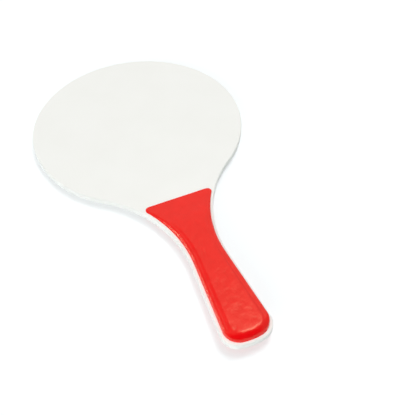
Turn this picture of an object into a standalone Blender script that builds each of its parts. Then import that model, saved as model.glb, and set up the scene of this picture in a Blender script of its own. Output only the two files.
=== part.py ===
"""Beach game paddle: a flat moulded board with a raised grip set into each face of its handle.

The paddle lies flat. +Y runs along it towards the tip of the blade, +Z out of its front face, and
the origin is the middle of its bounding box. A reach is a distance from the centre of the blade
down towards the butt of the handle. Each grip is modelled standing on the face z = 0.
"""

import math

import bmesh
import bpy
from mathutils import Vector

MM = 0.001

# Board: an oval blade that runs through a concave neck into a tapered handle
BLADE_WIDTH = 193.4 * MM
BLADE_TIP_REACH = 91.3 * MM
BLADE_HEEL_REACH = 95.0 * MM
BOARD_THICKNESS = 5.8 * MM
BOARD_EDGE_RADIUS = 1.0 * MM
WAIST_REACH = 160.0 * MM
WAIST_WIDTH = 31.4 * MM
HANDLE_TAPER = math.radians(4.1)
BUTT_REACH = 247.8 * MM
BUTT_CORNER_RADIUS = 13.5 * MM
BUTT_END_RADIUS = 47.5 * MM

# Seat of a grip: a shallow recess that leaves a rim of the board standing round it
RIM_WIDTH = 1.95 * MM
RECESS_DEPTH = 1.0 * MM
CLEARANCE = 0.3 * MM

# Outline of a grip where it leaves the handle's own: a straight flared top and rounder corners at the butt
FLARE_REACH = 98.8 * MM
FLARE_CORNER_RADIUS = 3.6 * MM
LEAST_CORNER_RADIUS = 0.4 * MM
GRIP_CORNER_RADIUS = 13.0 * MM

# Height of a grip's outer edge over the board, level below the flare and then rising to the butt in a bow
FLARE_EDGE_HEIGHT = 0.35 * MM
BUTT_EDGE_HEIGHT = 4.8 * MM
EDGE_BOW = 0.5 * MM
LEVEL_RUN = 28.0 * MM

# Rounded shoulder inside the outer edge, whose crest swells below the flare and then rises evenly
SHOULDER_WIDTH = 3.0 * MM
FLARE_CREST_HEIGHT = 0.6 * MM
BUTT_CREST_HEIGHT = 5.7 * MM
SWELL_HEIGHT = 1.3 * MM
SWELL_RUN = 28.0 * MM

# Soft step from the shoulder up to the flat top, slight at the waist and full along the palm
STEP_DEPTH = 3.4 * MM
STEP_WIDTH = 2.8 * MM
WAIST_STEP = 0.45 * MM
WAIST_STEP_REACH = 115.0 * MM
WAIST_STEP_RUN = 30.0 * MM
PALM_STEP = 0.25 * MM
PALM_REACH = 162.0 * MM
PALM_RUN = 25.0 * MM

# Nose at the butt end, a quarter round from a low foot up to the flat top
NOSE_WIDTH = 6.9 * MM
NOSE_FOOT = 0.35 * MM

# Inside of a grip: pockets under its skin, with cross ribs at the pegs
SIDE_WALL = 2.4 * MM
BUTT_WALL = 13.0 * MM
SKIN = 2.0 * MM
LEAST_POCKET_DEPTH = 0.6 * MM
POCKET_REACH = 146.0 * MM
RIB_THICKNESS = 1.6 * MM

# Pegs of the front grip, which pass through the board into sockets of the back grip
PEG_REACHES = (118.0 * MM, 168.0 * MM, 217.0 * MM)
PEG_DIAMETER = 5.0 * MM
PEG_CHAMFER = 0.4 * MM
BOSS_DIAMETER = 9.0 * MM
BOSS_SETBACK = 0.2 * MM
SOCKET_SKIN = 0.9 * MM

# Facets
TIP_STEPS = 26
HEEL_STEPS = 16
NECK_STEPS = 18
SIDE_STEPS = 10
CORNER_STEPS = 8
END_STEPS = 3
FLARE_CORNER_STEPS = 4
SHOULDER_STEPS = 4
RISER_STEPS = 4
POCKET_STEPS = 5
ROUND_SEGMENTS = 20
EDGE_SEGMENTS = 3
TANGENT_TRIALS = 2000
SMOOTH_ANGLE = math.radians(32.0)
SHARP_EDGE_ANGLE = math.radians(60.0)

# A point this close to the centre line is on it
ON_AXIS = 0.001 * MM

# Cutters reach this far past the face that they open
OVERCUT = 1.0 * MM

WHITE = (0.87, 0.88, 0.85, 1.0)
RED = (0.84, 0.032, 0.022, 1.0)
BOARD_ROUGHNESS = 0.45
GRIP_ROUGHNESS = 0.38

HALF_BOARD = BOARD_THICKNESS / 2
BLADE_CENTRE_Y = (BUTT_REACH - BLADE_TIP_REACH) / 2
GRIP_INSET = RIM_WIDTH + CLEARANCE
GRIP_BASE = CLEARANCE - RECESS_DEPTH
GRIP_END_REACH = BUTT_REACH - GRIP_INSET


def blend(start, end, share):
    """Value or point part of the way from start to end."""
    return start + (end - start) * share


def progress(value, start, run):
    """How far value has come along a run from start, between 0 and 1."""
    return min(max((value - start) / run, 0.0), 1.0)


def eased(share):
    """The same share with a soft start and end."""
    return share * share * (3.0 - 2.0 * share)


def arc(centre, radius, start, end, steps):
    """Points on an arc from one angle towards another, without the last one."""
    angles = [blend(start, end, step / steps) for step in range(steps)]
    return [centre + radius * Vector((math.cos(a), math.sin(a))) for a in angles]


def mirrored(right):
    """Close an outline whose right half is given from the top down to the middle of the butt."""
    left = [Vector((-p.x, p.y)) for p in reversed(right) if p.x > ON_AXIS]
    return right + left


# Outline of the board and of the grips

def touching_radius(angle):
    """Radius of a neck arc that stands upright at the waist and meets the blade's oval at angle."""
    oval = math.hypot(BLADE_WIDTH / 2 * math.cos(angle), BLADE_HEEL_REACH * math.sin(angle))
    span = WAIST_WIDTH / 2 * math.cos(angle) + WAIST_REACH * math.sin(angle) - oval
    return span / (1.0 - math.cos(angle))


# The arc with the largest such radius touches the oval without crossing it
TRIAL_ANGLES = [math.pi / 2 * trial / TANGENT_TRIALS for trial in range(1, TANGENT_TRIALS)]
NECK_ANGLE = max(TRIAL_ANGLES, key=touching_radius)
NECK_RADIUS = touching_radius(NECK_ANGLE)
NECK_CENTRE = Vector((WAIST_WIDTH / 2 + NECK_RADIUS, BLADE_CENTRE_Y - WAIST_REACH))


def handle_edge(inset, top_angle, corner_radius):
    """Right edge of the handle moved inward, from an angle up the neck arc to the butt's middle."""
    neck_radius = NECK_RADIUS + inset
    end_radius = BUTT_END_RADIUS - inset
    end_centre = Vector((0.0, BLADE_CENTRE_Y - BUTT_REACH + BUTT_END_RADIUS))

    neck_end = math.pi + HANDLE_TAPER
    neck = arc(NECK_CENTRE, neck_radius, math.pi - top_angle, neck_end, NECK_STEPS)
    side_start = arc(NECK_CENTRE, neck_radius, neck_end, neck_end, 1)[0]
    along = Vector((math.sin(HANDLE_TAPER), -math.cos(HANDLE_TAPER)))
    inward = Vector((-math.cos(HANDLE_TAPER), -math.sin(HANDLE_TAPER)))

    # The corner's centre lies one radius inside both the side and the arc of the end
    offset = side_start + inward * corner_radius - end_centre
    lean = offset.dot(along)
    spread = (end_radius - corner_radius) ** 2 - offset.length_squared
    run = math.sqrt(lean * lean + spread) - lean
    corner_centre = end_centre + offset + along * run
    side = [side_start + along * run * step / SIDE_STEPS for step in range(SIDE_STEPS)]

    turn = (corner_centre - end_centre).normalized()
    end_angle = math.atan2(turn.y, turn.x)
    corner = arc(corner_centre, corner_radius, HANDLE_TAPER, end_angle, CORNER_STEPS)
    end = arc(end_centre, end_radius, end_angle, -math.pi / 2, END_STEPS)
    return neck + side + corner + end + [end_centre - Vector((0.0, end_radius))]


def board_edge():
    """Right half of the board's outline, from the tip of the blade to the middle of the butt."""
    half = BLADE_WIDTH / 2
    points = []
    for step in range(TIP_STEPS):
        angle = math.pi / 2 * step / TIP_STEPS
        points.append(Vector((half * math.sin(angle), BLADE_CENTRE_Y + BLADE_TIP_REACH * math.cos(angle))))
    touch = math.atan(math.tan(NECK_ANGLE) * BLADE_HEEL_REACH / half)
    for step in range(HEEL_STEPS):
        angle = touch * step / HEEL_STEPS
        points.append(Vector((half * math.cos(angle), BLADE_CENTRE_Y - BLADE_HEEL_REACH * math.sin(angle))))
    return points + handle_edge(0.0, NECK_ANGLE, BUTT_CORNER_RADIUS)


def grip_edge(depth):
    """Right half of a grip's outline moved inward, from the flare's corner to the butt's middle."""
    inset = GRIP_INSET + depth
    neck_radius = NECK_RADIUS + inset
    corner_radius = max(FLARE_CORNER_RADIUS - depth, LEAST_CORNER_RADIUS)
    rise = WAIST_REACH - FLARE_REACH - depth - corner_radius
    top_angle = math.asin(rise / (neck_radius + corner_radius))
    toward = Vector((-math.cos(top_angle), math.sin(top_angle)))
    centre = NECK_CENTRE + toward * (neck_radius + corner_radius)
    corner = arc(centre, corner_radius, math.pi / 2, -top_angle, FLARE_CORNER_STEPS)
    return corner + handle_edge(inset, top_angle, GRIP_CORNER_RADIUS - depth)


def handle_half_width(reach, inset):
    """Half of the handle's width at a reach below the neck, moved inward."""
    radius = NECK_RADIUS + inset
    below = reach - WAIST_REACH
    turn = radius * math.sin(HANDLE_TAPER)
    if below < turn:
        return NECK_CENTRE.x - math.sqrt(radius * radius - below * below)
    return NECK_CENTRE.x - radius * math.cos(HANDLE_TAPER) + (below - turn) * math.tan(HANDLE_TAPER)


# Heights of a grip over the face of the board

def edge_height(reach):
    """Top of the outer edge."""
    start = FLARE_REACH + LEVEL_RUN
    share = progress(reach, start, GRIP_END_REACH - start)
    bow = 4.0 * EDGE_BOW * share * (1.0 - share)
    return blend(FLARE_EDGE_HEIGHT, BUTT_EDGE_HEIGHT, share) + bow


def crest_height(reach):
    """Top of the shoulder."""
    swell = SWELL_HEIGHT * eased(progress(reach, FLARE_REACH, SWELL_RUN))
    share = progress(reach, FLARE_REACH, GRIP_END_REACH - FLARE_REACH)
    return blend(FLARE_CREST_HEIGHT, BUTT_CREST_HEIGHT - SWELL_HEIGHT, share) + swell


def step_rise(reach):
    """Rise of the flat top over the shoulder."""
    waist = WAIST_STEP * eased(progress(reach, WAIST_STEP_REACH, WAIST_STEP_RUN))
    palm = PALM_STEP * eased(progress(reach, PALM_REACH, PALM_RUN))
    return waist + palm


def pocket_ceiling(reach):
    """Underside of the skin over a pocket."""
    return max(crest_height(reach) - SKIN, GRIP_BASE + LEAST_POCKET_DEPTH)


def boss_root(reach):
    """Inner end of a boss, halfway through the skin."""
    return (pocket_ceiling(reach) + crest_height(reach)) / 2


def socket_floor(reach):
    """Blind end of a peg's socket, as a height over the face that its grip stands on."""
    return crest_height(reach) - SOCKET_SKIN


def side_profile():
    """Section across a grip's side: depth from the outline, share of shoulder, share of step."""
    section = []
    for step in range(SHOULDER_STEPS + 1):
        angle = math.pi / 2 * step / SHOULDER_STEPS
        section.append((SHOULDER_WIDTH * (1.0 - math.cos(angle)), math.sin(angle), 0.0))
    for step in range(RISER_STEPS + 1):
        share = step / RISER_STEPS
        section.append((STEP_DEPTH + STEP_WIDTH * share, 1.0, eased(share)))
    return section


def butt_profile():
    """Section along the butt end: depth from the outline, share of the height over the nose's foot."""
    section = []
    steps = SHOULDER_STEPS + RISER_STEPS + 1
    for step in range(steps + 1):
        angle = math.pi / 2 * step / steps
        section.append((NOSE_WIDTH * (1.0 - math.cos(angle)), math.sin(angle)))
    return section


def butt_shares(count):
    """Share of the butt's section at each of count points down the right edge of a grip."""
    shares = [0.0] * (count - CORNER_STEPS - END_STEPS - 1)
    shares += [eased(step / CORNER_STEPS) for step in range(CORNER_STEPS)]
    return shares + [1.0] * (END_STEPS + 1)


def grip_rings():
    """Right halves of the rings of a grip's upper surface, from its outline in to its flat top."""
    rings = []
    shares = butt_shares(len(grip_edge(0.0)))
    for side, butt in zip(side_profile(), butt_profile()):
        ring = []
        for at_side, at_butt, share in zip(grip_edge(side[0]), grip_edge(butt[0]), shares):
            point = blend(at_side, at_butt, share)
            reach = BLADE_CENTRE_Y - point.y
            crest = crest_height(reach)
            side_height = blend(edge_height(reach), crest, side[1]) + step_rise(reach) * side[2]
            butt_height = blend(NOSE_FOOT, crest + step_rise(reach), butt[1])
            ring.append(Vector((point.x, point.y, blend(side_height, butt_height, share))))
        rings.append(ring)
    return rings


# Mesh building

def loop_of(bm, points):
    """Vertices for a closed outline."""
    return [bm.verts.new(p) for p in points]


def bridge(bm, lower, upper):
    """Quads between two loops of as many vertices."""
    for index, vert in enumerate(lower):
        after = (index + 1) % len(lower)
        bm.faces.new((vert, lower[after], upper[after], upper[index]))


def finish(bm, name):
    """Turn a closed bmesh into an object, with its faces pointing out."""
    bmesh.ops.recalc_face_normals(bm, faces=bm.faces[:])
    mesh = bpy.data.meshes.new(name)
    bm.to_mesh(mesh)
    bm.free()
    mesh.shade_smooth()
    mesh.set_sharp_from_angle(angle=SMOOTH_ANGLE)
    part = bpy.data.objects.new(name, mesh)
    bpy.context.scene.collection.objects.link(part)
    return part


def add_slab(bm, outline, bottom, top):
    """A closed slab between two heights."""
    lower = loop_of(bm, [Vector((p.x, p.y, bottom)) for p in outline])
    upper = loop_of(bm, [Vector((p.x, p.y, top)) for p in outline])
    bm.faces.new(lower)
    bm.faces.new(upper)
    bridge(bm, lower, upper)


def add_turned(bm, reach, profile):
    """A closed turned body on an upright axis, from a profile of radius and height."""
    loops = []
    for radius, height in profile:
        centre = Vector((0.0, BLADE_CENTRE_Y - reach))
        circle = arc(centre, radius, 0.0, 2.0 * math.pi, ROUND_SEGMENTS)
        loops.append(loop_of(bm, [Vector((p.x, p.y, height)) for p in circle]))
    for lower, upper in zip(loops, loops[1:]):
        bridge(bm, lower, upper)
    bm.faces.new(loops[0])
    bm.faces.new(loops[-1])


def add_pocket(bm, start, end):
    """A closed body that follows the handle's sides between two reaches, up to the skin."""
    loops = []
    for step in range(POCKET_STEPS + 1):
        reach = blend(start, end, step / POCKET_STEPS)
        half = handle_half_width(reach, GRIP_INSET + SIDE_WALL)
        low = GRIP_BASE - OVERCUT
        high = pocket_ceiling(reach)
        y = BLADE_CENTRE_Y - reach
        corners = ((-half, y, low), (half, y, low), (half, y, high), (-half, y, high))
        loops.append(loop_of(bm, corners))
    for first, second in zip(loops, loops[1:]):
        bridge(bm, first, second)
    bm.faces.new(loops[0])
    bm.faces.new(loops[-1])


def material(name, colour, roughness):
    """Plain plastic."""
    plastic = bpy.data.materials.new(name)
    plastic.use_nodes = True
    shader = plastic.node_tree.nodes["Principled BSDF"]
    shader.inputs["Base Color"].default_value = colour
    shader.inputs["Roughness"].default_value = roughness
    shader.inputs["Metallic"].default_value = 0.0
    return plastic


def combine(target, helper, operation):
    """Cut a helper body out of a target, or add it, and keep the helper out of the model."""
    helper.parent = target
    helper.hide_render = True
    helper.display_type = 'WIRE'
    boolean = target.modifiers.new(helper.name, 'BOOLEAN')
    boolean.operation = operation
    boolean.solver = 'EXACT'
    boolean.object = helper


# Pieces

def make_board(plastic):
    """Blade and handle in one, with a recess for each grip and a hole for each peg."""
    bm = bmesh.new()
    add_slab(bm, mirrored(board_edge()), -HALF_BOARD, HALF_BOARD)
    board = finish(bm, "paddle_board")
    board.data.materials.append(plastic)
    rounding = board.modifiers.new("edge_round", 'BEVEL')
    rounding.width = BOARD_EDGE_RADIUS
    rounding.segments = EDGE_SEGMENTS
    rounding.limit_method = 'ANGLE'
    rounding.angle_limit = SHARP_EDGE_ANGLE

    bm = bmesh.new()
    seat = mirrored(grip_edge(-CLEARANCE))
    floor = HALF_BOARD - RECESS_DEPTH
    add_slab(bm, seat, floor, HALF_BOARD + OVERCUT)
    add_slab(bm, seat, -HALF_BOARD - OVERCUT, -floor)
    combine(board, finish(bm, "grip_recesses"), 'DIFFERENCE')

    bm = bmesh.new()
    radius = PEG_DIAMETER / 2 + CLEARANCE
    for reach in PEG_REACHES:
        add_turned(bm, reach, ((radius, -HALF_BOARD), (radius, HALF_BOARD)))
    combine(board, finish(bm, "peg_holes"), 'DIFFERENCE')
    return board


def add_grip_shell(name, plastic):
    """A grip's outer form, raised on its base and hollowed by pockets between its ribs."""
    bm = bmesh.new()
    base = [Vector((p.x, p.y, GRIP_BASE)) for p in grip_edge(0.0)]
    halves = [base] + grip_rings()
    loops = []
    for half in halves:
        left = [Vector((-p.x, p.y, p.z)) for p in reversed(half[:-1])]
        loops.append(loop_of(bm, half + left))
    for lower, upper in zip(loops, loops[1:]):
        bridge(bm, lower, upper)
    bm.faces.new(loops[0])

    # The flat top closes in rows from side to side, with one triangle at the butt
    top = loops[-1]
    rows = len(halves[0]) - 1
    for row in range(rows - 1):
        bm.faces.new((top[row], top[row + 1], top[-2 - row], top[-1 - row]))
    bm.faces.new((top[rows - 1], top[rows], top[rows + 1]))
    grip = finish(bm, name)
    grip.data.materials.append(plastic)

    bm = bmesh.new()
    half_rib = RIB_THICKNESS / 2
    ribs = PEG_REACHES[1:]
    starts = [POCKET_REACH] + [reach + half_rib for reach in ribs]
    ends = [reach - half_rib for reach in ribs] + [GRIP_END_REACH - BUTT_WALL]
    for start, end in zip(starts, ends):
        add_pocket(bm, start, end)
    combine(grip, finish(bm, name + "_pockets"), 'DIFFERENCE')
    return grip


def make_front_grip(plastic):
    """Grip of the front face, with the pegs that reach through the board."""
    grip = add_grip_shell("front_grip", plastic)
    bm = bmesh.new()
    boss = BOSS_DIAMETER / 2
    peg = PEG_DIAMETER / 2
    foot = GRIP_BASE + BOSS_SETBACK
    for reach in PEG_REACHES:
        tip = CLEARANCE - BOARD_THICKNESS - socket_floor(reach)
        add_turned(bm, reach, (
            (boss, boss_root(reach)),
            (boss, foot),
            (peg, foot),
            (peg, tip + PEG_CHAMFER),
            (peg - PEG_CHAMFER, tip),
        ))
    combine(grip, finish(bm, "pegs"), 'UNION')
    grip.location.z = HALF_BOARD
    return grip


def make_back_grip(plastic):
    """Grip of the back face, with a socket for each peg."""
    grip = add_grip_shell("back_grip", plastic)
    boss = BOSS_DIAMETER / 2
    hole = PEG_DIAMETER / 2 + CLEARANCE
    bm = bmesh.new()
    for reach in PEG_REACHES:
        add_turned(bm, reach, ((boss, GRIP_BASE + BOSS_SETBACK), (boss, boss_root(reach))))
    combine(grip, finish(bm, "socket_bosses"), 'UNION')
    bm = bmesh.new()
    for reach in PEG_REACHES:
        add_turned(bm, reach, ((hole, GRIP_BASE - OVERCUT), (hole, socket_floor(reach))))
    combine(grip, finish(bm, "sockets"), 'DIFFERENCE')
    grip.rotation_euler.y = math.pi
    grip.location.z = -HALF_BOARD
    return grip


def main():
    for old in list(bpy.data.objects):
        bpy.data.objects.remove(old)
    white_plastic = material("white_plastic", WHITE, BOARD_ROUGHNESS)
    front_plastic = material("front_grip_plastic", RED, GRIP_ROUGHNESS)
    back_plastic = material("back_grip_plastic", RED, GRIP_ROUGHNESS)
    paddle = bpy.data.objects.new("paddle", None)
    bpy.context.scene.collection.objects.link(paddle)
    for piece in (make_board(white_plastic), make_front_grip(front_plastic), make_back_grip(back_plastic)):
        piece.parent = paddle
    bpy.context.view_layer.update()


main()
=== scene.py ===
"""Looks of the beach game paddle: fine moulded meshes in place of the solids, with floor, light and camera.

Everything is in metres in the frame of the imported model: +Y runs to the tip of the blade, +Z out of the
front face. A reach is a distance from the centre of the blade down towards the butt of the handle, and a
depth is a distance inward from the outline of a grip.
"""

import functools
import math

import bmesh
import bpy
from mathutils import Matrix, Quaternion, Vector


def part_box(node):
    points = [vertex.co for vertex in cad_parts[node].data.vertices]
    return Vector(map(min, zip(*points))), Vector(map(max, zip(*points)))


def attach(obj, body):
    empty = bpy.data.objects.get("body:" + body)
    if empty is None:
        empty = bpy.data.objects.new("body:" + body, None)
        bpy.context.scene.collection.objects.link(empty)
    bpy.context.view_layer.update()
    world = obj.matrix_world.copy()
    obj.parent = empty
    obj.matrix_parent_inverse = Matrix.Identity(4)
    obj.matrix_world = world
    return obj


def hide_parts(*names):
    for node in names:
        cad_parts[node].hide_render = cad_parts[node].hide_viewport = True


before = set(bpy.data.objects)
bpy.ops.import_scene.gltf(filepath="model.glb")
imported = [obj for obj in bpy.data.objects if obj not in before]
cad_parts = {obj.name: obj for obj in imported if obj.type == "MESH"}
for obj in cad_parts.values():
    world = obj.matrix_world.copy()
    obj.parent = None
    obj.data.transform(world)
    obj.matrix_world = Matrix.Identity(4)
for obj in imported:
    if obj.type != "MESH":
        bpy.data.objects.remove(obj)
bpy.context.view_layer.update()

MM = 0.001

# Board
BLADE_TIP_REACH = 91.3 * MM
BLADE_HEEL_REACH = 95.0 * MM
BOARD_EDGE_RADIUS = 1.0 * MM
WAIST_REACH = 160.0 * MM
WAIST_WIDTH = 31.4 * MM
HANDLE_TAPER = math.radians(4.1)
BUTT_CORNER_RADIUS = 13.5 * MM
BUTT_END_RADIUS = 47.5 * MM

# Seat of a grip
RIM_WIDTH = 1.95 * MM
RIM_ROUNDING = 0.04 * MM
SEAM = 0.02 * MM
RECESS_DEPTH = 1.0 * MM
CLEARANCE = 0.3 * MM
PEG_REACHES = (118.0 * MM, 168.0 * MM, 217.0 * MM)
PEG_DIAMETER = 5.0 * MM

# Outline of a grip's flared top and of its corners at the butt
FLARE_REACH = 98.8 * MM
FLARE_CORNER_RADIUS = 3.6 * MM
LEAST_CORNER_RADIUS = 0.4 * MM
GRIP_CORNER_RADIUS = 13.0 * MM

# Heights of a grip over the board
FLARE_EDGE_HEIGHT = 0.35 * MM
BUTT_EDGE_HEIGHT = 4.1 * MM
LEVEL_RUN = 28.0 * MM
FLARE_CREST_HEIGHT = 0.6 * MM
BUTT_CREST_HEIGHT = 5.7 * MM
SWELL_HEIGHT = 1.3 * MM
SWELL_RUN = 28.0 * MM
SHOULDER_WIDTH = 3.25 * MM
STEP_DEPTH = 3.4 * MM
STEP_WIDTH = 2.8 * MM
WAIST_STEP = 0.45 * MM
WAIST_STEP_REACH = 115.0 * MM
WAIST_STEP_RUN = 30.0 * MM
PALM_STEP = 0.25 * MM
PALM_REACH = 162.0 * MM
PALM_RUN = 25.0 * MM
NOSE_WIDTH = 6.9 * MM
NOSE_FOOT = 0.35 * MM

# Marks left on a grip's top by what is moulded under it: reach, height and spread
PAD_MARKS = (
    (118.0 * MM, -0.05 * MM, 2.5 * MM),
    (170.0 * MM, -0.05 * MM, 3.0 * MM),
    (217.0 * MM, 0.09 * MM, 3.5 * MM),
)

# Fineness of the meshes
TIP_STEPS = 64
HEEL_STEPS = 40
NECK_STEPS = 48
SIDE_STEPS = 40
CORNER_STEPS = 20
END_STEPS = 8
FLARE_CORNER_STEPS = 8
FLARE_EDGE_STEPS = 10
SHOULDER_STEPS = 10
RISER_STEPS = 8
EDGE_STEPS = 6
RIM_STEPS = 3
HOLE_STEPS = 32
TANGENT_TRIALS = 2000
SMOOTH_ANGLE = math.radians(40.0)
ON_AXIS = 0.001 * MM

# Plastics: lumps of a noise are about one over its scale wide, in metres, and its detail counts finer layers
NOISE_SPAN = (0.2, 0.8)
GRAIN_SCALE = 1300.0
GRAIN_DETAIL = 2.0
WHITE_CLOUD_SCALE = 25.0
WHITE_CLOUD_DETAIL = 3.0
WHITE_COLOURS = ((0.918, 0.922, 0.880, 1.0), (0.938, 0.942, 0.904, 1.0))
WHITE_ROUGHNESS = (0.44, 0.54)
WHITE_GRAIN_RELIEF = 0.01 * MM
WHITE_SPECULAR = 0.35
MOTTLE_SCALE = 130.0
MOTTLE_DETAIL = 3.0
MOTTLE_RELIEF = 0.55 * MM
FLOW_SCALE = 220.0
FLOW_DETAIL = 2.0
FLOW_STRETCH = (1.0, 0.12, 1.0)
FLOW_RELIEF = 0.04 * MM
RED_COLOURS = ((0.85, 0.001, 0.004, 1.0), (0.91, 0.004, 0.007, 1.0))
RED_ROUGHNESS = (0.21, 0.265)
RED_GRAIN_RELIEF = 0.004 * MM
RED_SPECULAR_TINT = (1.0, 0.97, 0.62, 1.0)

# Camera, found from the outlines in a square picture of this many pixels
PICTURE_SIDE = 416
FOCAL_PIXELS = 698.97
SENSOR_WIDTH = 36.0
CAMERA_AIM = Vector((0.01925, -0.04114))
CAMERA_DISTANCE = 0.58397
CAMERA_AZIMUTH = math.radians(-23.336)
CAMERA_ELEVATION = math.radians(50.311)
CAMERA_ROLL = math.radians(-0.2787)

# Light: a dome, dimmer for matt surfaces than in gloss, with dim patches. Each has its azimuth from the
# camera's, its elevation, the radius where it is darkest and where it ends, and its level.
DOME_LEVEL = 1.02
DOME_FILL_SHARE = 0.5
DIM_PATCHES = (
    (math.radians(15.0), math.radians(36.0), math.radians(32.0), math.radians(66.0), 0.04),
    (math.radians(-124.0), math.radians(58.0), math.radians(8.0), math.radians(26.0), 0.45),
    (math.radians(105.0), math.radians(22.0), math.radians(15.0), math.radians(40.0), 0.45),
)
SOFTBOX_AZIMUTH = CAMERA_AZIMUTH + math.radians(142.0)
SOFTBOX_ELEVATION = math.radians(72.5)
SOFTBOX_ROLL = math.radians(-40.0)
SOFTBOX_SIZE = (1.25, 0.85)
SOFTBOX_LEVEL = 7.0
KEY_AZIMUTH = CAMERA_AZIMUTH + math.radians(148.0)
KEY_ELEVATION = math.radians(63.0)
KEY_SIZE = (1.2, 1.2)
KEY_LEVEL = 5.6
CARD_AZIMUTH = CAMERA_AZIMUTH - math.radians(97.0)
CARD_ELEVATION = math.radians(27.0)
CARD_SIZE = (1.3, 2.2)
CARD_LEVEL = 3.2
FRONT_AZIMUTH = CAMERA_AZIMUTH - math.radians(20.0)
FRONT_ELEVATION = math.radians(22.0)
FRONT_SIZE = (3.0, 1.2)
FRONT_LEVEL = 4.6
LAMP_DISTANCE = 3.0
FLOOR_HALF_SIDE = 20.0
FLOOR_COLOUR = (0.87, 0.94, 0.955, 1.0)
FLOOR_GLOW = 1.25
FLOOR_GLOW_SHARE = 0.46
FLOOR_SHADOW_REACH = (0.4, 1.2)

BOARD_LOW, BOARD_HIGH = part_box("paddle_board")
BLADE_WIDTH = BOARD_HIGH.x - BOARD_LOW.x
HALF_BOARD = BOARD_HIGH.z
BLADE_CENTRE_Y = BOARD_HIGH.y - BLADE_TIP_REACH
BUTT_REACH = BLADE_CENTRE_Y - BOARD_LOW.y
GRIP_INSET = RIM_WIDTH + CLEARANCE
GRIP_BASE = CLEARANCE - RECESS_DEPTH
GRIP_END_REACH = BUTT_REACH - GRIP_INSET


def blend(start, end, share):
    """Value or point part of the way from start to end."""
    return start + (end - start) * share


def progress(value, start, run):
    """How far value has come along a run from start, between 0 and 1."""
    return min(max((value - start) / run, 0.0), 1.0)


def eased(share):
    """The same share with a soft start and end."""
    return share * share * (3.0 - 2.0 * share)


def arc(centre, radius, start, end, steps):
    """Points on an arc from one angle towards another, without the last one."""
    angles = [blend(start, end, step / steps) for step in range(steps)]
    return [centre + radius * Vector((math.cos(a), math.sin(a))) for a in angles]


def mirrored(right):
    """Close an outline whose right half is given from the top down to the middle of the butt."""
    left = [Vector((-p.x, *p[1:])) for p in reversed(right) if p.x > ON_AXIS]
    return right + left


# Outlines

def touching_radius(angle):
    """Radius of a neck arc that stands upright at the waist and meets the blade's oval at angle."""
    oval = math.hypot(BLADE_WIDTH / 2 * math.cos(angle), BLADE_HEEL_REACH * math.sin(angle))
    span = WAIST_WIDTH / 2 * math.cos(angle) + WAIST_REACH * math.sin(angle) - oval
    return span / (1.0 - math.cos(angle))


# The arc with the largest such radius touches the oval without crossing it
TRIAL_ANGLES = [math.pi / 2 * trial / TANGENT_TRIALS for trial in range(1, TANGENT_TRIALS)]
NECK_ANGLE = max(TRIAL_ANGLES, key=touching_radius)
NECK_RADIUS = touching_radius(NECK_ANGLE)
NECK_CENTRE = Vector((WAIST_WIDTH / 2 + NECK_RADIUS, BLADE_CENTRE_Y - WAIST_REACH))


def handle_edge(inset, top_angle, corner_radius):
    """Right edge of the handle moved inward, from an angle up the neck arc to the butt's middle."""
    neck_radius = NECK_RADIUS + inset
    end_radius = BUTT_END_RADIUS - inset
    end_centre = Vector((0.0, BLADE_CENTRE_Y - BUTT_REACH + BUTT_END_RADIUS))

    neck_end = math.pi + HANDLE_TAPER
    neck = arc(NECK_CENTRE, neck_radius, math.pi - top_angle, neck_end, NECK_STEPS)
    side_start = arc(NECK_CENTRE, neck_radius, neck_end, neck_end, 1)[0]
    along = Vector((math.sin(HANDLE_TAPER), -math.cos(HANDLE_TAPER)))
    inward = Vector((-math.cos(HANDLE_TAPER), -math.sin(HANDLE_TAPER)))

    # The corner's centre lies one radius inside both the side and the arc of the end
    offset = side_start + inward * corner_radius - end_centre
    lean = offset.dot(along)
    spread = (end_radius - corner_radius) ** 2 - offset.length_squared
    run = math.sqrt(lean * lean + spread) - lean
    corner_centre = end_centre + offset + along * run
    side = [side_start + along * run * step / SIDE_STEPS for step in range(SIDE_STEPS)]

    turn = (corner_centre - end_centre).normalized()
    end_angle = math.atan2(turn.y, turn.x)
    corner = arc(corner_centre, corner_radius, HANDLE_TAPER, end_angle, CORNER_STEPS)
    end = arc(end_centre, end_radius, end_angle, -math.pi / 2, END_STEPS)
    return neck + side + corner + end + [end_centre - Vector((0.0, end_radius))]


def board_edge(inset):
    """Right half of the board's outline moved inward, from the tip of the blade to the middle of the butt."""
    half = BLADE_WIDTH / 2
    touch = math.atan(math.tan(NECK_ANGLE) * BLADE_HEEL_REACH / half)
    turns = [(math.pi / 2 * (1.0 - step / TIP_STEPS), BLADE_TIP_REACH) for step in range(TIP_STEPS)]
    turns += [(-touch * step / HEEL_STEPS, BLADE_HEEL_REACH) for step in range(HEEL_STEPS)]
    points = []
    for turn, reach in turns:
        on_oval = Vector((half * math.cos(turn), reach * math.sin(turn)))
        outward = Vector((on_oval.x / half ** 2, on_oval.y / reach ** 2)).normalized()
        points.append(on_oval + Vector((0.0, BLADE_CENTRE_Y)) - outward * inset)
    return points + handle_edge(inset, NECK_ANGLE, BUTT_CORNER_RADIUS - inset)


def grip_edge(depth):
    """Right half of a grip's outline moved inward, from the middle of the flare to the butt's middle."""
    inset = GRIP_INSET + depth
    neck_radius = NECK_RADIUS + inset
    corner_radius = max(FLARE_CORNER_RADIUS - depth, LEAST_CORNER_RADIUS)
    rise = WAIST_REACH - FLARE_REACH - depth - corner_radius
    top_angle = math.asin(rise / (neck_radius + corner_radius))
    toward = Vector((-math.cos(top_angle), math.sin(top_angle)))
    centre = NECK_CENTRE + toward * (neck_radius + corner_radius)
    corner = arc(centre, corner_radius, math.pi / 2, -top_angle, FLARE_CORNER_STEPS)
    flare = [Vector((corner[0].x * step / FLARE_EDGE_STEPS, corner[0].y)) for step in range(FLARE_EDGE_STEPS)]
    return flare + corner + handle_edge(inset, top_angle, GRIP_CORNER_RADIUS - depth)


# Heights of a grip over the face of the board

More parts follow.
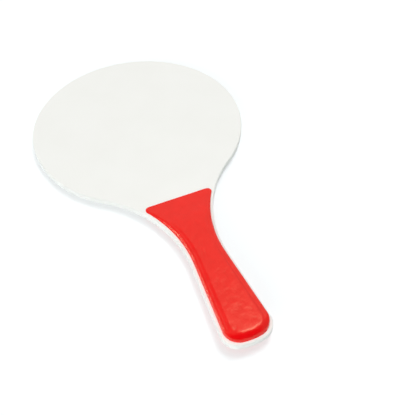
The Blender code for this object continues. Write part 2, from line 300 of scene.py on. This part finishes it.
def edge_height(reach):
    """Top of the outer edge: level below the flare, then rising evenly to the butt."""
    start = FLARE_REACH + LEVEL_RUN
    return blend(FLARE_EDGE_HEIGHT, BUTT_EDGE_HEIGHT, progress(reach, start, GRIP_END_REACH - start))


def crest_height(reach):
    """Top of the rounded shoulder: it swells below the flare and rises evenly to the butt."""
    swell = SWELL_HEIGHT * eased(progress(reach, FLARE_REACH, SWELL_RUN))
    share = progress(reach, FLARE_REACH, GRIP_END_REACH - FLARE_REACH)
    return blend(FLARE_CREST_HEIGHT, BUTT_CREST_HEIGHT - SWELL_HEIGHT, share) + swell


def step_rise(reach):
    """Rise of the flat top over the shoulder."""
    waist = WAIST_STEP * eased(progress(reach, WAIST_STEP_REACH, WAIST_STEP_RUN))
    palm = PALM_STEP * eased(progress(reach, PALM_REACH, PALM_RUN))
    return waist + palm


def side_profile():
    """Section across a grip's side: depth from the outline, share of shoulder, share of step."""
    section = []
    for step in range(SHOULDER_STEPS + 1):
        angle = math.pi / 2 * step / SHOULDER_STEPS
        section.append((SHOULDER_WIDTH * (1.0 - math.cos(angle)), math.sin(angle), 0.0))
    for step in range(RISER_STEPS + 1):
        share = step / RISER_STEPS
        section.append((STEP_DEPTH + STEP_WIDTH * share, 1.0, eased(share)))
    return section


def butt_profile():
    """Section along the butt end, a quarter round: depth from the outline, share of its height."""
    section = []
    steps = SHOULDER_STEPS + RISER_STEPS + 1
    for step in range(steps + 1):
        angle = math.pi / 2 * step / steps
        section.append((NOSE_WIDTH * (1.0 - math.cos(angle)), math.sin(angle)))
    return section


def butt_shares(count):
    """Share of the butt's section at each of count points down the right edge of a grip."""
    shares = [0.0] * (count - CORNER_STEPS - END_STEPS - 1)
    shares += [eased(step / CORNER_STEPS) for step in range(CORNER_STEPS)]
    return shares + [1.0] * (END_STEPS + 1)


def grip_rings():
    """Right halves of the rings of a grip's upper surface, from its outline in to its flat top."""
    rings = []
    shares = butt_shares(len(grip_edge(0.0)))
    for side, butt in zip(side_profile(), butt_profile()):
        ring = []
        for at_side, at_butt, share in zip(grip_edge(side[0]), grip_edge(butt[0]), shares):
            point = blend(at_side, at_butt, share)
            reach = BLADE_CENTRE_Y - point.y
            crest = crest_height(reach)
            side_height = blend(edge_height(reach), crest, side[1]) + step_rise(reach) * side[2]
            butt_height = blend(NOSE_FOOT, crest + step_rise(reach), butt[1])
            ring.append(Vector((point.x, point.y, blend(side_height, butt_height, share))))
        rings.append(ring)
    return rings


# Meshes

def loop_of(bm, points):
    """Vertices for a closed outline."""
    return [bm.verts.new(p) for p in points]


def bridge(bm, lower, upper):
    """Quads between two loops of as many vertices."""
    for index, vert in enumerate(lower):
        after = (index + 1) % len(lower)
        bm.faces.new((vert, lower[after], upper[after], upper[index]))


def level(points, height):
    """Flat points lifted to a height."""
    return [Vector((p.x, p.y, height)) for p in points]


def edges_of(loop):
    """Edges that already run round a loop of vertices."""
    pairs = zip(loop, loop[1:] + loop[:1])
    return [next(edge for edge in first.link_edges if second in edge.verts) for first, second in pairs]


def finish_piece(bm, name, material, node):
    """Turn a bmesh into a shown piece that stands for a node of the frame."""
    bmesh.ops.recalc_face_normals(bm, faces=bm.faces[:])
    mesh = bpy.data.meshes.new(name)
    bm.to_mesh(mesh)
    bm.free()
    mesh.shade_smooth()
    mesh.set_sharp_from_angle(angle=SMOOTH_ANGLE)
    mesh.materials.append(material)
    piece = bpy.data.objects.new(name, mesh)
    bpy.context.scene.collection.objects.link(piece)
    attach(piece, "root")
    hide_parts(node)
    return piece


def make_board(material):
    """Blade and handle with a rounded edge, a seat for each grip and holes for the pegs."""
    bm = bmesh.new()
    rounding = [math.pi / 2 * step / EDGE_STEPS for step in range(EDGE_STEPS + 1)]
    levels = [(BOARD_EDGE_RADIUS * (1.0 - math.cos(a)), HALF_BOARD - BOARD_EDGE_RADIUS * (1.0 - math.sin(a)))
              for a in rounding]
    levels = [(inset, -height) for inset, height in reversed(levels)] + levels
    loops = [loop_of(bm, level(mirrored(board_edge(inset)), height)) for inset, height in levels]
    for lower, upper in zip(loops, loops[1:]):
        bridge(bm, lower, upper)

    hole_loops = {}
    for side, face_loop in ((-1, loops[0]), (1, loops[-1])):
        turns = [math.pi / 2 * step / RIM_STEPS for step in range(RIM_STEPS + 1)]
        depths = [-SEAM - RIM_ROUNDING * (1.0 - math.sin(a)) for a in turns] + [-SEAM]
        heights = [HALF_BOARD - RIM_ROUNDING * (1.0 - math.cos(a)) for a in turns]
        heights.append(HALF_BOARD - RECESS_DEPTH)
        seat = [loop_of(bm, level(mirrored(grip_edge(depth)), side * height))
                for depth, height in zip(depths, heights)]
        for lower, upper in zip(seat, seat[1:]):
            bridge(bm, lower, upper)
        bmesh.ops.triangle_fill(bm, use_beauty=True, edges=edges_of(face_loop) + edges_of(seat[0]))

        floor_edges = edges_of(seat[-1])
        for reach in PEG_REACHES:
            centre = Vector((0.0, BLADE_CENTRE_Y - reach))
            circle = arc(centre, PEG_DIAMETER / 2 + CLEARANCE, 0.0, 2.0 * math.pi, HOLE_STEPS)
            loop = loop_of(bm, level(circle, side * (HALF_BOARD - RECESS_DEPTH)))
            if reach in hole_loops:
                bridge(bm, hole_loops[reach], loop)
            hole_loops[reach] = loop
            for pair in zip(loop, loop[1:] + loop[:1]):
                floor_edges.append(bm.edges.get(pair) or bm.edges.new(pair))
        bmesh.ops.triangle_fill(bm, use_beauty=True, edges=floor_edges)
    return finish_piece(bm, "moulded_board", material, "paddle_board")


def make_grip(name, material, node, side):
    """A grip with its rounded shoulder, stepped top and nose, on the front (side 1) or the back (side -1)."""
    bm = bmesh.new()
    base = level(grip_edge(0.0), GRIP_BASE)
    halves = [base] + grip_rings()
    loops = [loop_of(bm, mirrored(half)) for half in halves]
    for lower, upper in zip(loops, loops[1:]):
        bridge(bm, lower, upper)
    bmesh.ops.triangulate(bm, faces=[bm.faces.new(loops[0])], ngon_method='BEAUTY')
    fill_top(bm, halves[-1], loops[-1])
    if side < 0:
        turn = Matrix.Rotation(math.pi, 3, 'Y')
        bmesh.ops.rotate(bm, verts=bm.verts[:], cent=(0.0, 0.0, 0.0), matrix=turn)
    bmesh.ops.translate(bm, verts=bm.verts[:], vec=(0.0, 0.0, side * HALF_BOARD))
    return finish_piece(bm, name, material, node)


def pad_relief(spot):
    """Height of the shallow marks on a grip's flat top."""
    relief = 0.0
    for reach, height, spread in PAD_MARKS:
        away = math.hypot(spot.x, BLADE_CENTRE_Y - reach - spot.y) / spread
        relief += height * math.exp(-away * away / 2.0)
    return relief


def fill_top(bm, half, loop):
    """Close a grip's flat top with rows from side to side, in columns that start at its flare's edge."""
    last = len(half) - 1
    right = loop[:last + 1]
    left = [right[0]] + loop[:last:-1]
    shares = [step / FLARE_EDGE_STEPS for step in range(-FLARE_EDGE_STEPS, FLARE_EDGE_STEPS + 1)]
    row = [left[step] for step in range(FLARE_EDGE_STEPS, 0, -1)] + right[:FLARE_EDGE_STEPS + 1]
    for index in range(FLARE_EDGE_STEPS + 1, last):
        edge = right[index].co
        spots = [Vector((edge.x * share, edge.y)) for share in shares[1:-1]]
        inner = [bm.verts.new((spot.x, spot.y, edge.z + pad_relief(spot))) for spot in spots]
        after = [left[index]] + inner + [right[index]]
        for column in range(len(shares) - 1):
            bm.faces.new((row[column], row[column + 1], after[column + 1], after[column]))
        row = after
    for column in range(len(shares) - 1):
        bm.faces.new((row[column], row[column + 1], right[last]))


# Materials

def add_node(tree, kind, **inputs):
    """A shader node with values or links for its inputs."""
    node = tree.nodes.new(kind)
    for name, value in inputs.items():
        socket = node.inputs[name.replace("_", " ")]
        if isinstance(value, bpy.types.NodeSocket):
            tree.links.new(value, socket)
        else:
            socket.default_value = value
    return node


def new_material(name):
    """An empty node material and its shader."""
    material = bpy.data.materials.new(name)
    material.use_nodes = True
    return material, material.node_tree, material.node_tree.nodes["Principled BSDF"]


def noise(tree, where, scale, detail):
    """Values of a noise whose lumps are about one over scale metres wide."""
    node = add_node(tree, "ShaderNodeTexNoise", Vector=where, Scale=scale, Detail=detail)
    return node.outputs["Fac"]


def ramp(tree, value, span, low, high):
    """A number that goes softly from low to high while value goes through a span."""
    node = add_node(tree, "ShaderNodeMapRange", Value=value, From_Min=span[0], From_Max=span[1])
    node.interpolation_type = 'SMOOTHSTEP'
    node.inputs["To Min"].default_value, node.inputs["To Max"].default_value = low, high
    return node.outputs["Result"]


def between(tree, share, first, second):
    """A colour that goes from one to another with a share."""
    node = tree.nodes.new("ShaderNodeMix")
    node.data_type = 'RGBA'
    factor, start, end = (socket for socket in node.inputs if socket.enabled)
    tree.links.new(share, factor)
    start.default_value, end.default_value = first, second
    return next(socket for socket in node.outputs if socket.enabled)


def combined(tree, operation, first, second):
    """One number made of two."""
    node = tree.nodes.new("ShaderNodeMath")
    node.operation = operation
    tree.links.new(first, node.inputs[0])
    tree.links.new(second, node.inputs[1])
    return node.outputs[0]


def bumped(tree, height, relief, normal=None):
    """A normal that follows a relief of this height in metres over the one given."""
    node = add_node(tree, "ShaderNodeBump", Height=height, Distance=relief)
    if normal:
        tree.links.new(normal, node.inputs["Normal"])
    return node.outputs["Normal"]


def make_white_plastic():
    """Matt white moulding: a fine even grain, slightly cloudy in colour."""
    material, tree, shader = new_material("white_plastic")
    where = tree.nodes.new("ShaderNodeTexCoord").outputs["Object"]
    cloud = noise(tree, where, WHITE_CLOUD_SCALE, WHITE_CLOUD_DETAIL)
    grain = noise(tree, where, GRAIN_SCALE, GRAIN_DETAIL)
    colour = between(tree, ramp(tree, cloud, NOISE_SPAN, 0.0, 1.0), *WHITE_COLOURS)
    tree.links.new(colour, shader.inputs["Base Color"])
    tree.links.new(ramp(tree, grain, NOISE_SPAN, *WHITE_ROUGHNESS), shader.inputs["Roughness"])
    tree.links.new(bumped(tree, grain, WHITE_GRAIN_RELIEF), shader.inputs["Normal"])
    shader.inputs["Specular IOR Level"].default_value = WHITE_SPECULAR
    return material


def make_red_plastic():
    """Satin red moulding: mottled where it cooled unevenly, with flow lines along the handle and a grain."""
    material, tree, shader = new_material("red_plastic")
    where = tree.nodes.new("ShaderNodeTexCoord").outputs["Object"]
    along = add_node(tree, "ShaderNodeMapping", Vector=where, Scale=FLOW_STRETCH).outputs["Vector"]
    mottle = noise(tree, where, MOTTLE_SCALE, MOTTLE_DETAIL)
    flow = noise(tree, along, FLOW_SCALE, FLOW_DETAIL)
    grain = noise(tree, where, GRAIN_SCALE, GRAIN_DETAIL)
    colour = between(tree, ramp(tree, mottle, NOISE_SPAN, 0.0, 1.0), *RED_COLOURS)
    tree.links.new(colour, shader.inputs["Base Color"])
    tree.links.new(ramp(tree, mottle, NOISE_SPAN, *RED_ROUGHNESS), shader.inputs["Roughness"])
    wavy = bumped(tree, flow, FLOW_RELIEF, bumped(tree, mottle, MOTTLE_RELIEF))
    tree.links.new(bumped(tree, grain, RED_GRAIN_RELIEF, wavy), shader.inputs["Normal"])
    shader.inputs["Specular Tint"].default_value = RED_SPECULAR_TINT
    return material


# Stage

def direction(azimuth, elevation):
    """Unit vector from the object towards a camera or lamp, in the frame's own azimuths."""
    level_part = math.cos(elevation)
    return Vector((math.sin(azimuth) * level_part, -math.cos(azimuth) * level_part, math.sin(elevation)))


def make_camera():
    """The photograph's camera, aimed at a point on the front face of the board."""
    data = bpy.data.cameras.new("camera")
    data.sensor_width = SENSOR_WIDTH
    data.lens = SENSOR_WIDTH * FOCAL_PIXELS / PICTURE_SIDE
    camera = bpy.data.objects.new("camera", data)
    bpy.context.scene.collection.objects.link(camera)
    back = direction(CAMERA_AZIMUTH, CAMERA_ELEVATION)
    right = Vector((math.cos(CAMERA_AZIMUTH), math.sin(CAMERA_AZIMUTH), 0.0))
    turn = Matrix((right, back.cross(right), back)).transposed()
    camera.matrix_world = Matrix.LocRotScale(
        CAMERA_AIM.to_3d() + Vector((0.0, 0.0, HALF_BOARD)) + back * CAMERA_DISTANCE,
        turn.to_quaternion() @ Matrix.Rotation(CAMERA_ROLL, 3, 'Z').to_quaternion(),
        None,
    )
    bpy.context.scene.camera = camera


def make_lamp(name, azimuth, elevation, size, radiance, roll=0.0):
    """A flat lamp of a given radiance that faces the paddle."""
    data = bpy.data.lights.new(name, 'AREA')
    data.shape = 'RECTANGLE'
    data.size, data.size_y = size
    data.energy = radiance * math.pi * data.size * data.size_y
    # With one lamp linked to the grips alone, sampling lamps in two ways would light the grips too much
    data.cycles.use_multiple_importance_sampling = False
    lamp = bpy.data.objects.new(name, data)
    bpy.context.scene.collection.objects.link(lamp)
    toward = direction(azimuth, elevation)
    lamp.location = toward * LAMP_DISTANCE
    lamp.rotation_mode = 'QUATERNION'
    lamp.rotation_quaternion = toward.to_track_quat('Z', 'Y') @ Quaternion((0.0, 0.0, 1.0), roll)
    return lamp


def dome_level(tree):
    """Level of the dome in every direction: even, but for its dim patches."""
    sky = tree.nodes.new("ShaderNodeTexCoord").outputs["Generated"]
    levels = []
    for azimuth, elevation, inner, outer, dim_level in DIM_PATCHES:
        facing = tree.nodes.new("ShaderNodeVectorMath")
        facing.operation = 'DOT_PRODUCT'
        tree.links.new(sky, facing.inputs[0])
        facing.inputs[1].default_value = direction(CAMERA_AZIMUTH + azimuth, elevation)
        span = (math.cos(outer), math.cos(inner))
        levels.append(ramp(tree, facing.outputs["Value"], span, DOME_LEVEL, dim_level))
    return functools.reduce(lambda first, second: combined(tree, 'MINIMUM', first, second), levels)


def make_world():
    """A pale dome, dim towards the camera, dimmer for matt surfaces and plain white where it is seen."""
    world = bpy.data.worlds.new("studio")
    world.use_nodes = True
    tree = world.node_tree
    path = tree.nodes.new("ShaderNodeLightPath")
    share = ramp(tree, path.outputs["Is Diffuse Ray"], (0.0, 1.0), 1.0, DOME_FILL_SHARE)
    dome = combined(tree, 'MULTIPLY', dome_level(tree), share)
    strength = add_node(tree, "ShaderNodeMix", Factor=path.outputs["Is Camera Ray"], A=dome, B=1.0)
    background = tree.nodes["Background"]
    background.inputs["Color"].default_value = (1.0, 1.0, 1.0, 1.0)
    tree.links.new(strength.outputs["Result"], background.inputs["Strength"])
    bpy.context.scene.world = world


def make_floor_material():
    """Plain white that glows where it is seen, fully only far off, so that the paddle's shadow stays."""
    material, tree, shader = new_material("floor_white")
    tree.nodes.remove(shader)
    path = tree.nodes.new("ShaderNodeLightPath")
    seen = path.outputs["Is Camera Ray"]
    for ray in ("Is Glossy Ray", "Is Transmission Ray"):
        seen = combined(tree, 'MAXIMUM', seen, path.outputs[ray])
    where = tree.nodes.new("ShaderNodeTexCoord").outputs["Object"]
    away = add_node(tree, "ShaderNodeVectorMath", Vector=where)
    away.operation = 'LENGTH'
    share = ramp(tree, away.outputs["Value"], FLOOR_SHADOW_REACH, FLOOR_GLOW_SHARE, 1.0)
    both = add_node(tree, "ShaderNodeMixShader", Fac=combined(tree, 'MULTIPLY', seen, share))
    diffuse = add_node(tree, "ShaderNodeBsdfDiffuse", Color=FLOOR_COLOUR)
    glow = add_node(tree, "ShaderNodeEmission", Strength=FLOOR_GLOW)
    tree.links.new(diffuse.outputs[0], both.inputs[1])
    tree.links.new(glow.outputs[0], both.inputs[2])
    tree.links.new(both.outputs[0], tree.nodes["Material Output"].inputs["Surface"])
    return material


def make_floor():
    """A floor that touches the butt of the back grip and the tip of the blade."""
    butt = min((v.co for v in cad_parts["back_grip"].data.vertices), key=lambda co: co.z)
    slopes = [(v.co.z - butt.z) / (v.co.y - butt.y)
              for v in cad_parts["paddle_board"].data.vertices if v.co.y > BLADE_CENTRE_Y]
    mesh = bpy.data.meshes.new("floor")
    half = FLOOR_HALF_SIDE
    corners = [(-half, -half, 0.0), (half, -half, 0.0), (half, half, 0.0), (-half, half, 0.0)]
    mesh.from_pydata(corners, [], [(0, 1, 2, 3)])
    mesh.materials.append(make_floor_material())
    floor = bpy.data.objects.new("floor", mesh)
    bpy.context.scene.collection.objects.link(floor)
    floor.location = (0.0, butt.y, butt.z)
    floor.rotation_euler.x = math.atan(min(slopes))


red_plastic = make_red_plastic()
board = make_board(make_white_plastic())
grips = [
    make_grip("front_grip_cover", red_plastic, "front_grip", 1),
    make_grip("back_grip_cover", red_plastic, "back_grip", -1),
]
make_camera()
make_world()
softbox = make_lamp("softbox", SOFTBOX_AZIMUTH, SOFTBOX_ELEVATION, SOFTBOX_SIZE, SOFTBOX_LEVEL, SOFTBOX_ROLL)
key_light = make_lamp("key_light", KEY_AZIMUTH, KEY_ELEVATION, KEY_SIZE, KEY_LEVEL)
side_card = make_lamp("side_card", CARD_AZIMUTH, CARD_ELEVATION, CARD_SIZE, CARD_LEVEL)
front_fill = make_lamp("front_fill", FRONT_AZIMUTH, FRONT_ELEVATION, FRONT_SIZE, FRONT_LEVEL)
for lamp in (key_light, front_fill):
    lamp.visible_glossy = False

# The light from above isn't held off the white rim by the grips, only by the board
shading = bpy.data.collections.new("shading")
shading.objects.link(board)
for lamp in (softbox, key_light):
    lamp.light_linking.blocker_collection = shading

# The card is there for the gloss of the grips alone
carded = bpy.data.collections.new("carded")
for grip in grips:
    carded.objects.link(grip)
side_card.visible_diffuse = False
side_card.light_linking.receiver_collection = carded
make_floor()
bpy.context.scene.view_settings.view_transform = 'Standard'
